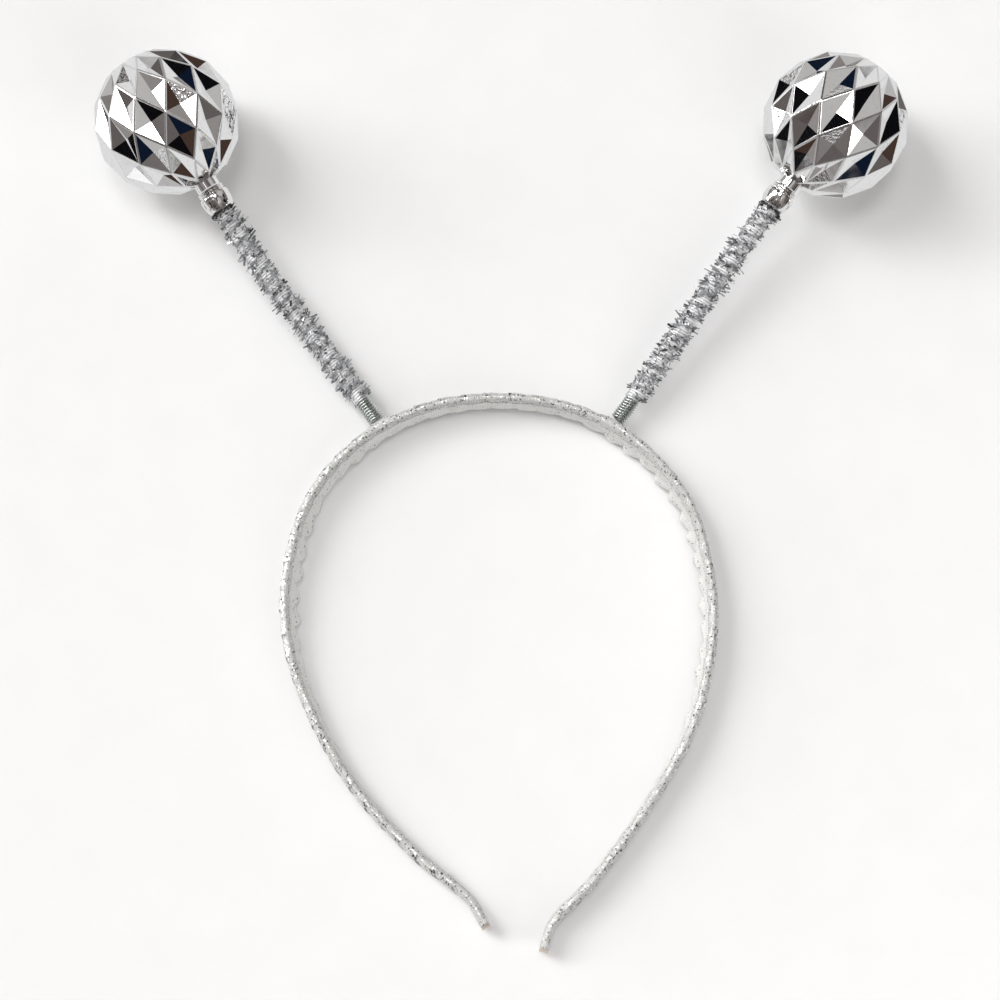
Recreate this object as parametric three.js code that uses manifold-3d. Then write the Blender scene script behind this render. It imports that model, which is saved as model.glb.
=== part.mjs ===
import * as THREE from "three";
import { mergeVertices } from "three/addons/utils/BufferGeometryUtils.js";
import Module from "manifold-3d";

const wasm = await Module();
wasm.setup();

// Millimetres and degrees, +Z up. The band lies flat: +Y runs from its tips to the balls.

// Headband strip
const headbandWidth = 117.2;
const headbandHeight = 149.3;
const coreThickness = 1.8;
const coreWidth = 8.4;
const coreBeyondWrap = 1.0;
const coreClearance = 0.2;
const crownSeatLength = 8;

// Ribbon wound round the strip
const ribbonWall = 0.45;
const ribbonPitch = 6.3;
const ribbonStep = 0.32;
const scallopDepth = 1.1;
const footBossHeight = 0.7;
const footBossFlat = 2;
const footBossReach = 5;

// Wire springs
const springDiameter = 4.5;
const springWire = 0.7;
const springPitch = 0.78;
const springGroove = 0.28;
const springReach = 71.4;
const springBareLength = 7;
const springInCollar = 3.2;
const springBendAtFoot = 0.3;
const springFootClearance = 0.3;

// Tinsel wound round the springs
const tinselClearance = 0.25;
const tinselWall = 0.35;
const tinselRidge = 0.35;
const tinselPitch = 3.4;
const tinselBladeReach = 0.55;
const tinselBladeWidth = 0.9;
const tinselBladeFold = 0.27;
const tinselBladeInset = 0.05;
const tinselEndGap = 0.3;

// Plated collars
const collarMouthRadius = 2.95;
const collarRimRadius = 3.5;
const collarBellyRadius = 4.2;
const collarRingRadius = 3.75;
const collarGrooveRadius = 3.25;
const collarBarrelHeight = 4.8;
const collarRingHeight = 1.1;
const collarGrooveHeight = 0.4;
const collarTopThickness = 0.7;
const collarChamfer = 0.3;

// Faceted balls
const ballRadius = 20;
const ballWall = 1.1;
const facetDepth = 2.3;
const neckRadius = 3.3;
const neckWall = 0.9;
const neckLength = 1.2;
const neckClearance = 0.3;

// The two springs and balls. Angles are from +Y in plan, growing away from the middle.
const sides = [
  {
    name: "left", sign: -1, footFromCrown: 33.4, springAngle: 36.4,
    ballAngle: 33.2, ballRise: 12.3, latticeTurn: 0,
  },
  {
    name: "right", sign: 1, footFromCrown: 31.8, springAngle: 36.2,
    ballAngle: 38.4, ballRise: 10.0, latticeTurn: 15,
  },
];

// The strip from the left tip over the crown to the right tip. across and down are shares of the
// headband's width and height from the crown's top, width is a share of the crown's, lean is how
// far the floor edge leans inwards, and scallop is a share of the scallops' depth.
const stripTable = [
  { across: -0.030, down: 0.957, width: 0.64, lean: 0, scallop: 0 },
  { across: -0.066, down: 0.909, width: 0.66, lean: 1, scallop: 0 },
  { across: -0.190, down: 0.828, width: 0.70, lean: 2, scallop: 0 },
  { across: -0.327, down: 0.712, width: 0.75, lean: 4, scallop: 0.15 },
  { across: -0.418, down: 0.592, width: 0.82, lean: 6, scallop: 0.7 },
  { across: -0.476, down: 0.465, width: 0.90, lean: 8.5, scallop: 1 },
  { across: -0.485, down: 0.350, width: 0.95, lean: 9.5, scallop: 1 },
  { across: -0.436, down: 0.200, width: 1.00, lean: 8, scallop: 1 },
  { across: -0.325, down: 0.093, width: 1.00, lean: 6, scallop: 0.9 },
  { across: -0.170, down: 0.028, width: 1.00, lean: 4, scallop: 0.2 },
  { across: 0.000, down: 0.010, width: 1.00, lean: 3.5, scallop: 0 },
  { across: 0.170, down: 0.030, width: 1.00, lean: 3.5, scallop: 0.2 },
  { across: 0.321, down: 0.097, width: 1.00, lean: 4, scallop: 0.9 },
  { across: 0.431, down: 0.203, width: 0.98, lean: 4.5, scallop: 1 },
  { across: 0.481, down: 0.350, width: 0.93, lean: 4.5, scallop: 1 },
  { across: 0.479, down: 0.466, width: 0.88, lean: 4, scallop: 1 },
  { across: 0.437, down: 0.600, width: 0.82, lean: 3, scallop: 0.6 },
  { across: 0.344, down: 0.731, width: 0.75, lean: 2, scallop: 0.1 },
  { across: 0.211, down: 0.873, width: 0.70, lean: 1, scallop: 0 },
  { across: 0.115, down: 0.953, width: 0.66, lean: 0, scallop: 0 },
  { across: 0.097, down: 0.999, width: 0.64, lean: 0, scallop: 0 },
];

// Points round the ribbon's section. out and up are shares of half the wrap's thickness and width,
// lay is how far the winding has moved on, as a share of the pitch, and step and scallop say how
// much of the ribbon's step and of the scallop the point takes.
const ribbonSection = [
  { out: 1.0, up: -0.86, lay: 0.05, step: 1, scallop: 0 },
  { out: 1.0, up: 0.86, lay: 0.45, step: 1, scallop: 0 },
  { out: 0.6, up: 1, lay: 0.5, step: 0.8, scallop: 0 },
  { out: -0.6, up: 1, lay: 0.5, step: 0.4, scallop: 0 },
  { out: -1.0, up: 0.86, lay: 0.45, step: 0, scallop: 0 },
  { out: -1.0, up: -0.86, lay: 0.05, step: 0, scallop: 0.55 },
  { out: -0.6, up: -1, lay: 0, step: 0.3, scallop: 1 },
  { out: 0.6, up: -1, lay: 0, step: 0.6, scallop: 0 },
];

// Rings of one ribbon turn: how far along the turn, and the height of the step and the scallop there.
const ribbonTurn = [
  { along: 0.0, step: 0.0, scallop: 0.0 },
  { along: 0.45, step: 0.5, scallop: 1.0 },
  { along: 0.9, step: 1.0, scallop: 0.35 },
];

// Facet depth in each row of cells, as a share of facetDepth, from the equator to the last row.
const facetRows = [1, 1, 0.9, 0.5];

const cellsRound = 12;
const rowAngle = 22.5;
const springSides = 10;
const tinselSides = 8;
const latheSides = 16;
const ringsPerCoil = 3;
const ringsPerTinselTurn = 3;
const bladesPerTinselTurn = 2.3;
const tubeSpacing = 9;
const arcDivisions = 1200;
const weldDistance = 1e-4;
const up = new THREE.Vector3(0, 0, 1);
const radians = THREE.MathUtils.degToRad;

// A closed loop of rings of equal length makes a hollow solid; a list with two caps makes a full one.
class RingSolid {
  constructor() {
    this.positions = [];
    this.triangles = [];
  }

  addPoint(point) {
    this.positions.push(point.x, point.y, point.z);
    return this.positions.length / 3 - 1;
  }

  addRing(points) {
    return points.map((point) => this.addPoint(point));
  }

  joinRings(ring, next) {
    ring.forEach((corner, i) => {
      const j = (i + 1) % ring.length;
      this.triangles.push(corner, ring[j], next[j]);
      this.triangles.push(corner, next[j], next[i]);
    });
  }

  joinLoop(rings) {
    const indexed = rings.map((points) => this.addRing(points));
    indexed.forEach((ring, i) => this.joinRings(ring, indexed[(i + 1) % indexed.length]));
    return this;
  }

  joinCapped(rings) {
    const indexed = rings.map((points) => this.addRing(points));
    indexed.slice(1).forEach((ring, i) => this.joinRings(indexed[i], ring));
    const first = indexed[0];
    const last = indexed[indexed.length - 1];
    for (let i = 1; i < first.length - 1; i += 1) {
      this.triangles.push(first[0], first[i + 1], first[i]);
      this.triangles.push(last[0], last[i], last[i + 1]);
    }
    return this;
  }

  volume() {
    const corner = (i) => new THREE.Vector3().fromArray(this.positions, this.triangles[i] * 3);
    let total = 0;
    for (let i = 0; i < this.triangles.length; i += 3) {
      total += corner(i).dot(corner(i + 1).cross(corner(i + 2))) / 6;
    }
    return total;
  }

  geometry() {
    if (this.volume() < 0) this.triangles.reverse();
    const geometry = new THREE.BufferGeometry();
    geometry.setAttribute("position", new THREE.Float32BufferAttribute(this.positions, 3));
    geometry.setIndex(this.triangles);
    geometry.computeVertexNormals();
    return geometry;
  }
}

// A named mesh with its own material
function makeMesh(name, geometry, color, roughness, metalness) {
  const material = new THREE.MeshStandardMaterial({ color, roughness, metalness, flatShading: true });
  const mesh = new THREE.Mesh(geometry, material);
  mesh.name = name;
  return mesh;
}

function toManifold(geometry) {
  const bare = geometry.clone();
  bare.deleteAttribute("normal");
  const merged = mergeVertices(bare, weldDistance);
  const vertProperties = new Float32Array(merged.attributes.position.array);
  const triVerts = new Uint32Array(merged.index.array);
  return new wasm.Manifold(new wasm.Mesh({ numProp: 3, vertProperties, triVerts }));
}

function fromManifold(solid) {
  const mesh = solid.getMesh();
  const geometry = new THREE.BufferGeometry();
  geometry.setAttribute("position", new THREE.Float32BufferAttribute(mesh.vertProperties, 3));
  geometry.setIndex(Array.from(mesh.triVerts));
  geometry.computeVertexNormals();
  return geometry;
}

// The strip's middle line in plan, and the tables' values along it
const wrapBuild = coreClearance + ribbonWall;
const stripPoints = stripTable.map((row) => (
  new THREE.Vector3(row.across * headbandWidth, -row.down * headbandHeight, 0)
));
const stripCurve = new THREE.CatmullRomCurve3(stripPoints, false, "centripetal");
stripCurve.arcLengthDivisions = arcDivisions;
const stripLength = stripCurve.getLength();
const crownIndex = stripTable.findIndex((row) => row.across === 0);
const crownDivision = Math.round((crownIndex / (stripTable.length - 1)) * arcDivisions);
const crownDistance = stripCurve.getLengths()[crownDivision];

function stripValue(distance, column) {
  const share = THREE.MathUtils.clamp(distance / stripLength, 0, 1);
  const place = stripCurve.getUtoTmapping(share, 0) * (stripTable.length - 1);
  const row = Math.min(Math.floor(place), stripTable.length - 2);
  const blend = THREE.MathUtils.smoothstep(place - row, 0, 1);
  return THREE.MathUtils.lerp(stripTable[row][column], stripTable[row + 1][column], blend);
}

// Position and axes of the strip's section. The seat at the crown is straight and doesn't twist.
function stripFrame(distance) {
  const fromCrown = distance - crownDistance;
  const onSeat = Math.abs(fromCrown) <= crownSeatLength / 2;
  const share = THREE.MathUtils.clamp((onSeat ? crownDistance : distance) / stripLength, 0, 1);
  const point = stripCurve.getPointAt(share);
  const tangent = stripCurve.getTangentAt(share);
  if (onSeat) point.addScaledVector(tangent, fromCrown);
  const measured = onSeat ? crownDistance : distance;
  const outward = new THREE.Vector3(-tangent.y, tangent.x, 0);
  const lean = radians(stripValue(measured, "lean"));
  const halfWidth = (stripValue(measured, "width") * coreWidth) / 2;
  const halfThickness = coreThickness / 2;
  const corner = ribbonSection[ribbonSection.length - 1];
  point.z = (halfWidth + wrapBuild) * Math.cos(lean) + ribbonStep;
  point.z += corner.out * (halfThickness + wrapBuild) * Math.sin(lean);
  const side = outward.clone().multiplyScalar(Math.cos(lean)).addScaledVector(up, -Math.sin(lean));
  const rise = outward.clone().multiplyScalar(Math.sin(lean)).addScaledVector(up, Math.cos(lean));
  const scallop = stripValue(measured, "scallop") * scallopDepth;
  return { point, tangent, side, rise, halfWidth, halfThickness, scallop };
}

function sectionPoint(frame, out, high) {
  return frame.point.clone().addScaledVector(frame.side, out).addScaledVector(frame.rise, high);
}

// How close a place on the strip is to a spring's foot: 1 on the foot, 0 past the boss
function footCloseness(distance) {
  const gaps = sides.map((side) => Math.abs(distance - crownDistance - side.sign * side.footFromCrown));
  return 1 - THREE.MathUtils.smoothstep(Math.min(...gaps), footBossFlat, footBossReach);
}

// Rings that the core and the inside of the ribbon share, so that they stay parallel
const turnCount = Math.round((stripLength - 2 * coreBeyondWrap) / ribbonPitch);
const turnLength = (stripLength - 2 * coreBeyondWrap) / turnCount;
const turnStarts = Array.from({ length: turnCount + 1 }, (_, i) => coreBeyondWrap + i * turnLength);
const seatEnds = [crownDistance - crownSeatLength / 2, crownDistance + crownSeatLength / 2];
const sharedPlaces = [...turnStarts, ...seatEnds].sort((a, b) => a - b);

function makeCore() {
  const rings = [0, ...sharedPlaces, stripLength].map((distance) => {
    const frame = stripFrame(distance);
    const corners = [[1, -1], [1, 1], [-1, 1], [-1, -1]];
    return corners.map(([out, high]) => (
      sectionPoint(frame, out * frame.halfThickness, high * frame.halfWidth)
    ));
  });
  const geometry = new RingSolid().joinCapped(rings).geometry();
  return makeMesh("headband_core", geometry, 0xb9a184, 0.6, 0);
}

function ribbonPoint(column, distance, step, scallop) {
  const frame = stripFrame(distance);
  const closeness = footCloseness(distance);
  const onOuterFace = column.out === 1;
  const lift = column.step * step * ribbonStep * (1 - closeness);
  const boss = onOuterFace ? footBossHeight * closeness : 0;
  const bulge = column.scallop * scallop * frame.scallop;
  const out = column.out * (frame.halfThickness + wrapBuild) + Math.sign(column.out) * lift + boss - bulge;
  const edge = Math.abs(column.up) === 1 ? column.up * lift : 0;
  return sectionPoint(frame, out, column.up * (frame.halfWidth + wrapBuild) + edge);
}

function ribbonOuterRings() {
  const wrapEnd = stripLength - coreBeyondWrap;
  const rings = [];
  for (let turn = 0; turn < turnCount; turn += 1) {
    for (const row of ribbonTurn) {
      rings.push(ribbonSection.map((column) => {
        const moved = coreBeyondWrap + (turn + row.along + column.lay) * turnLength;
        const place = turn === 0 && row.along === 0 ? coreBeyondWrap : Math.min(moved, wrapEnd);
        return ribbonPoint(column, place, row.step, row.scallop);
      }));
    }
  }
  rings.pop();
  rings.push(ribbonSection.map((column) => ribbonPoint(column, wrapEnd, 0, 0)));
  return rings;
}

function makeRibbonWrap() {
  const innerRings = sharedPlaces.map((distance) => {
    const frame = stripFrame(distance);
    return ribbonSection.map((column) => sectionPoint(
      frame,
      column.out * (frame.halfThickness + coreClearance),
      Math.sign(column.up) * (frame.halfWidth + coreClearance),
    ));
  });
  const rings = [...ribbonOuterRings(), ...innerRings.reverse()];
  const geometry = new RingSolid().joinLoop(rings).geometry();
  return makeMesh("ribbon_wrap", geometry, 0xc2c3c4, 0.45, 0.5);
}

// Lengths along a ball's axis, from its centre out to the collar's mouth
const collarTop = ballRadius + neckLength + neckClearance;
const collarHeight = collarRingHeight + collarGrooveHeight + collarBarrelHeight;
const collarMouth = collarTop + collarHeight;

function directionFrom(side, angle, rise) {
  const flat = Math.cos(radians(rise));
  const across = side.sign * Math.sin(radians(angle)) * flat;
  return new THREE.Vector3(across, Math.cos(radians(angle)) * flat, Math.sin(radians(rise)));
}

// Right-handed axes with Z along a direction and X as near to up as it goes
function axesAlong(direction) {
  const axisX = up.clone().addScaledVector(direction, -up.dot(direction)).normalize();
  const axisY = direction.clone().cross(axisX);
  return { axisX, axisY, axisZ: direction.clone() };
}

// The corners of the facet cells on a unit sphere: rows of 12, each turned by half a cell
function latticeNode(row, step, turn) {
  const latitude = radians(row * rowAngle);
  const longitude = radians((step * 360) / cellsRound + turn);
  return new THREE.Vector3(
    Math.cos(latitude) * Math.cos(longitude),
    Math.cos(latitude) * Math.sin(longitude),
    Math.sin(latitude),
  );
}

const rowShift = (row) => (Math.abs(row) % 2 === 1 ? 0.5 : 0);
const lastRow = facetRows.length - 1;

// Height of a ball's centre when its lowest facet corner touches the floor
function ballRestHeight(side) {
  const axes = axesAlong(directionFrom(side, side.ballAngle, side.ballRise).negate());
  let lowest = 0;
  for (let row = -lastRow; row <= lastRow; row += 1) {
    for (let step = 0; step < cellsRound; step += 1) {
      const node = latticeNode(row, step + rowShift(row), side.latticeTurn);
      const height = node.x * axes.axisX.z + node.y * axes.axisY.z + node.z * axes.axisZ.z;
      lowest = Math.min(lowest, height);
    }
  }
  return -lowest * ballRadius;
}

// The spring's line: it bends evenly from its foot on the ribbon to the collar's mouth
function springLine(side) {
  const footFrame = stripFrame(crownDistance + side.sign * side.footFromCrown);
  const toBall = directionFrom(side, side.ballAngle, side.ballRise);
  const surface = footFrame.halfThickness + wrapBuild + footBossHeight;
  const foot = sectionPoint(footFrame, surface + springFootClearance, 0);
  const mouth = foot.clone().addScaledVector(directionFrom(side, side.springAngle, 0), springReach);
  mouth.z = ballRestHeight(side) - toBall.z * collarMouth;
  const chord = mouth.clone().sub(foot);
  const chordRise = THREE.MathUtils.radToDeg(Math.asin(chord.z / chord.length()));
  const footAngle = THREE.MathUtils.lerp(side.springAngle, side.ballAngle, springBendAtFoot);
  const fromFoot = directionFrom(side, footAngle, 2 * chordRise - side.ballRise);
  const handle = chord.length() / 3;
  const bend = new THREE.CubicBezierCurve3(
    foot,
    foot.clone().addScaledVector(fromFoot, handle),
    mouth.clone().addScaledVector(toBall, -handle),
    mouth,
  );
  const centre = mouth.clone().addScaledVector(toBall, collarMouth);
  return { bend, mouth, toBall, centre, length: bend.getLength() };
}

function lineFrame(line, distance) {
  const share = Math.min(distance / line.length, 1);
  const point = line.bend.getPointAt(share);
  const tangent = line.bend.getTangentAt(share);
  point.addScaledVector(line.toBall, Math.max(distance - line.length, 0));
  const axes = axesAlong(tangent);
  return { point, axes };
}

// A ring round the spring's line, with a radius that may change round it
function lineRing(line, distance, count, radiusAt) {
  const { point, axes } = lineFrame(line, distance);
  return Array.from({ length: count }, (_, i) => {
    const turn = i / count;
    const radius = radiusAt(turn);
    return point.clone()
      .addScaledVector(axes.axisX, radius * Math.cos(turn * 2 * Math.PI))
      .addScaledVector(axes.axisY, radius * Math.sin(turn * 2 * Math.PI));
  });
}

function evenPlaces(from, to, pitch) {
  const count = Math.max(1, Math.round((to - from) / pitch));
  return Array.from({ length: count + 1 }, (_, i) => from + ((to - from) * i) / count);
}

// The bare turns show the coils as a helical groove; under the tinsel the tube is plain
const springBareEnd = Math.round(springBareLength / springPitch) * springPitch;
const tinselStart = springBareEnd + springPitch;

function makeSpring(side, line) {
  const outside = springDiameter / 2;
  const end = line.length + springInCollar;
  const coilPlaces = evenPlaces(0, springBareEnd, springPitch / ringsPerCoil);
  const plainPlaces = evenPlaces(tinselStart, end, tubeSpacing);
  const grooved = (distance) => (turn) => {
    const wave = 0.5 - 0.5 * Math.cos(2 * Math.PI * (distance / springPitch - turn));
    return outside - wave * springGroove;
  };
  const outer = [
    ...coilPlaces.map((distance) => lineRing(line, distance, springSides, grooved(distance))),
    ...plainPlaces.map((distance) => lineRing(line, distance, springSides, () => outside)),
  ];
  const innerPlaces = evenPlaces(0, end, tubeSpacing).reverse();
  const inner = innerPlaces.map((distance) => (
    lineRing(line, distance, springSides, () => outside - springWire)
  ));
  const geometry = new RingSolid().joinLoop([...outer, ...inner]).geometry();
  return makeMesh(`spring_${side.name}`, geometry, 0x8f948f, 0.3, 0.9);
}

// A foil strip that is rooted in the tinsel's wall and stands out of its ridge
function tinselBlade(line, distance, rootRadius, tipRadius) {
  const { point, axes } = lineFrame(line, distance);
  const turn = distance / tinselPitch;
  const away = axes.axisX.clone().multiplyScalar(Math.cos(turn * 2 * Math.PI));
  away.addScaledVector(axes.axisY, Math.sin(turn * 2 * Math.PI));
  const round = axes.axisZ.clone().cross(away);
  const root = point.clone().addScaledVector(away, rootRadius);
  const half = tinselBladeWidth / 2;
  const corners = [
    root.clone().addScaledVector(axes.axisZ, -half),
    root.clone().addScaledVector(axes.axisZ, half),
    root.clone().addScaledVector(round, tinselBladeFold),
    point.clone().addScaledVector(away, tipRadius).addScaledVector(round, half),
  ];
  const blade = new RingSolid();
  const [a, b, c, tip] = blade.addRing(corners);
  blade.triangles.push(a, b, c, a, c, tip, c, b, tip, b, a, tip);
  return toManifold(blade.geometry());
}

// A hollow strand round the spring with a helical ridge, and blades fused along the ridge
function makeTinsel(side, line) {
  const inside = (springDiameter / 2 + tinselClearance) / Math.cos(Math.PI / tinselSides);
  const valley = inside + tinselWall;
  const end = line.length - tinselEndGap;
  const ridged = (distance) => (turn) => {
    const wave = 0.5 + 0.5 * Math.cos(2 * Math.PI * (distance / tinselPitch - turn));
    return valley + tinselRidge * wave * wave;
  };
  const outer = evenPlaces(tinselStart, end, tinselPitch / ringsPerTinselTurn)
    .map((distance) => lineRing(line, distance, tinselSides, ridged(distance)));
  const inner = evenPlaces(tinselStart, end, tubeSpacing).reverse()
    .map((distance) => lineRing(line, distance, tinselSides, () => inside));
  let solid = toManifold(new RingSolid().joinLoop([...outer, ...inner]).geometry());
  const rootRadius = inside + tinselBladeInset;
  const tipRadius = valley + tinselRidge + tinselBladeReach;
  const firstBlade = tinselStart + tinselPitch / 2;
  const lastBlade = end - tinselPitch / 2;
  for (const distance of evenPlaces(firstBlade, lastBlade, tinselPitch / bladesPerTinselTurn)) {
    solid = solid.add(tinselBlade(line, distance, rootRadius, tipRadius));
  }
  return makeMesh(`tinsel_${side.name}`, fromManifold(solid), 0xc9ccce, 0.25, 0.9);
}

// A cup turned round Z: its mouth at the origin, its closed top towards the ball
function makeCollar(side) {
  const ceiling = collarHeight - collarTopThickness;
  const ringFoot = collarBarrelHeight + collarGrooveHeight;
  const profile = [
    [0, ceiling],
    [collarMouthRadius, ceiling],
    [collarMouthRadius, 0],
    [collarRimRadius, 0],
    [THREE.MathUtils.lerp(collarRimRadius, collarBellyRadius, 0.7), collarBarrelHeight * 0.3],
    [collarBellyRadius, collarBarrelHeight * 0.7],
    [collarBellyRadius - collarChamfer, collarBarrelHeight - collarChamfer],
    [collarGrooveRadius, collarBarrelHeight],
    [collarGrooveRadius, ringFoot],
    [collarRingRadius, ringFoot],
    [collarRingRadius, collarHeight - collarChamfer],
    [collarRingRadius - collarChamfer, collarHeight],
    [0, collarHeight],
  ];
  const points = profile.map(([radius, height]) => new THREE.Vector2(radius, height));
  const lathed = new THREE.LatheGeometry(points, latheSides).rotateX(Math.PI / 2);
  const solid = new RingSolid();
  lathed.deleteAttribute("uv");
  lathed.deleteAttribute("normal");
  const merged = mergeVertices(lathed, weldDistance);
  solid.positions = Array.from(merged.attributes.position.array);
  solid.triangles = Array.from(merged.index.array);
  return makeMesh(`collar_${side.name}`, solid.geometry(), 0xd4d2ce, 0.12, 1);
}

// One faceted skin of a ball with its neck, open at the neck's end: the outside or the inside
function addBallSkin(solid, radius, depth, throat, turn, inward) {
  const nodes = {};
  const nodeAt = (row, step) => {
    const wrapped = ((step % cellsRound) + cellsRound) % cellsRound;
    const key = `${row} ${wrapped}`;
    nodes[key] ??= solid.addPoint(latticeNode(row, wrapped, turn).multiplyScalar(radius));
    return nodes[key];
  };
  const throatHeight = Math.sqrt(radius * radius - throat * throat);
  const throatRing = (height) => Array.from({ length: 2 * cellsRound }, (_, i) => {
    const longitude = radians((i * 180) / cellsRound + turn);
    return solid.addPoint(new THREE.Vector3(
      throat * Math.cos(longitude),
      throat * Math.sin(longitude),
      height,
    ));
  });
  const foot = throatRing(throatHeight);
  const mouth = throatRing(ballRadius + neckLength);
  const pole = solid.addPoint(new THREE.Vector3(0, 0, -radius));
  const footAt = (step) => foot[(Math.round(step * 2) + foot.length) % foot.length];
  const faces = [];
  for (let row = -lastRow; row <= lastRow; row += 1) {
    for (let cell = 0; cell < cellsRound; cell += 1) {
      const step = cell + 0.5 - rowShift(row);
      const share = facetRows[Math.abs(row)];
      const sunk = latticeNode(row, step, turn).multiplyScalar(radius - depth * share);
      const apex = solid.addPoint(sunk);
      const west = nodeAt(row, step - 0.5);
      const east = nodeAt(row, step + 0.5);
      const south = row === -lastRow ? pole : nodeAt(row - 1, step);
      faces.push([apex, west, south], [apex, south, east]);
      if (row < lastRow) {
        const north = nodeAt(row + 1, step);
        faces.push([apex, east, north], [apex, north, west]);
      } else {
        const corners = [east, footAt(step + 0.5), footAt(step), footAt(step - 0.5), west];
        corners.slice(1).forEach((corner, i) => faces.push([apex, corners[i], corner]));
      }
    }
  }
  foot.forEach((corner, i) => {
    const j = (i + 1) % foot.length;
    faces.push([corner, foot[j], mouth[j]], [corner, mouth[j], mouth[i]]);
  });
  faces.forEach((face) => solid.triangles.push(...(inward ? face.reverse() : face)));
  return mouth;
}

function makeBall(side) {
  const solid = new RingSolid();
  const inner = (ballRadius - ballWall) / ballRadius;
  const outerMouth = addBallSkin(solid, ballRadius, facetDepth, neckRadius, side.latticeTurn, false);
  const innerMouth = addBallSkin(
    solid, ballRadius * inner, facetDepth * inner, neckRadius - neckWall, side.latticeTurn, true,
  );
  solid.joinRings(outerMouth, innerMouth);
  return makeMesh(`ball_${side.name}`, solid.geometry(), 0xd9dadb, 0.05, 1);
}

// The headband with its springs, and each ball with its collar in a group of its own
const bopper = new THREE.Group();
bopper.add(makeCore(), makeRibbonWrap());
for (const side of sides) {
  const line = springLine(side);
  bopper.add(makeSpring(side, line), makeTinsel(side, line));
  const head = new THREE.Group();
  const { axisX, axisY, axisZ } = axesAlong(line.toBall.clone().negate());
  head.quaternion.setFromRotationMatrix(new THREE.Matrix4().makeBasis(axisX, axisY, axisZ));
  head.position.copy(line.centre);
  const collar = makeCollar(side);
  collar.rotation.x = Math.PI;
  collar.position.z = collarMouth;
  head.add(collar, makeBall(side));
  bopper.add(head);
}

// The origin is the middle of the box that holds it all, on the floor
bopper.updateMatrixWorld(true);
const box = new THREE.Box3().setFromObject(bopper, true);
const middle = box.getCenter(new THREE.Vector3());
bopper.position.set(-middle.x, -middle.y, -box.min.z);

export default bopper;
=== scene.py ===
# Head bopper: ribbon-wound headband, two springs wound with tinsel, two faceted plated balls.
import math
import random

import bpy
import numpy as np
from mathutils import Matrix, Vector


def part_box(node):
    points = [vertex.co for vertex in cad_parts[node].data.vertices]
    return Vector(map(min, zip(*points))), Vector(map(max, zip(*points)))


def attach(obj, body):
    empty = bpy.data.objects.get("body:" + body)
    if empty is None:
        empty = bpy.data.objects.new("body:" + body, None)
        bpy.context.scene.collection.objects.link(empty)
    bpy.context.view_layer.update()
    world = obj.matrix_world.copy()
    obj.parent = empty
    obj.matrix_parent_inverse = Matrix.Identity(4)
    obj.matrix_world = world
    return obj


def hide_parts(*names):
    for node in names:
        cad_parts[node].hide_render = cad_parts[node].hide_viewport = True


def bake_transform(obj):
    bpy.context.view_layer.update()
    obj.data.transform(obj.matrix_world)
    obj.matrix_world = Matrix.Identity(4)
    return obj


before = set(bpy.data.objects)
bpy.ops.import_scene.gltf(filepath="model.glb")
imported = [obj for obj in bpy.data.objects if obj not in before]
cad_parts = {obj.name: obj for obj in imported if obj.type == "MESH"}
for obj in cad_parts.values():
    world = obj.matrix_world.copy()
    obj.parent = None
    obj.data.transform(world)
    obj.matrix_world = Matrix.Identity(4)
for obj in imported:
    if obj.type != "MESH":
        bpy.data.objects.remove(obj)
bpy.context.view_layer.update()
mm = 0.001


# Camera, floor and light

shot = {
    "target": (-0.27, -1.52, 12.0),   # mm, the point in the middle of the picture
    "distance": 680.0,
    "elevation": 80.0,
    "fieldOfView": 22.24,
    "sensor": 36.0,
    "clip": (0.05, 20),               # m
}


def makeCamera(settings):
    data = bpy.data.cameras.new("shotCamera")
    camera = bpy.data.objects.new("shotCamera", data)
    bpy.context.scene.collection.objects.link(camera)
    tilt = math.radians(settings["elevation"])
    target = Vector(settings["target"]) * mm
    away = Vector((0, -math.cos(tilt), math.sin(tilt)))
    camera.location = target + away * settings["distance"] * mm
    camera.rotation_euler = (math.pi / 2 - tilt, 0, 0)
    data.sensor_width = settings["sensor"]
    data.lens = settings["sensor"] / 2 / math.tan(math.radians(settings["fieldOfView"] / 2))
    data.clip_start, data.clip_end = settings["clip"]
    bpy.context.scene.camera = camera


makeCamera(shot)
bpy.context.scene.view_settings.view_transform = "Standard"
print("camera set")


# Node helpers

class Wire:
    # a socket that sums like a number
    def __init__(self, tree, socket):
        self.tree = tree
        self.socket = socket

    def sum(self, operation, first, second):
        return self.tree.add("ShaderNodeMath", {"operation": operation}, {0: first, 1: second})

    def __add__(self, other):
        return self.sum("ADD", self, other)

    def __radd__(self, other):
        return self.sum("ADD", other, self)

    def __sub__(self, other):
        return self.sum("SUBTRACT", self, other)

    def __rsub__(self, other):
        return self.sum("SUBTRACT", other, self)

    def __mul__(self, other):
        return self.sum("MULTIPLY", self, other)

    def __rmul__(self, other):
        return self.sum("MULTIPLY", other, self)

    def sine(self):
        return self.sum("SINE", self, 0.0)

    def ease(self, low, high):
        # 0 below low, 1 above high, smooth between
        return self.tree.add(
            "ShaderNodeMapRange", {"interpolation_type": "SMOOTHSTEP"},
            {"Value": self, "From Min": low, "From Max": high},
        )


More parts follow.
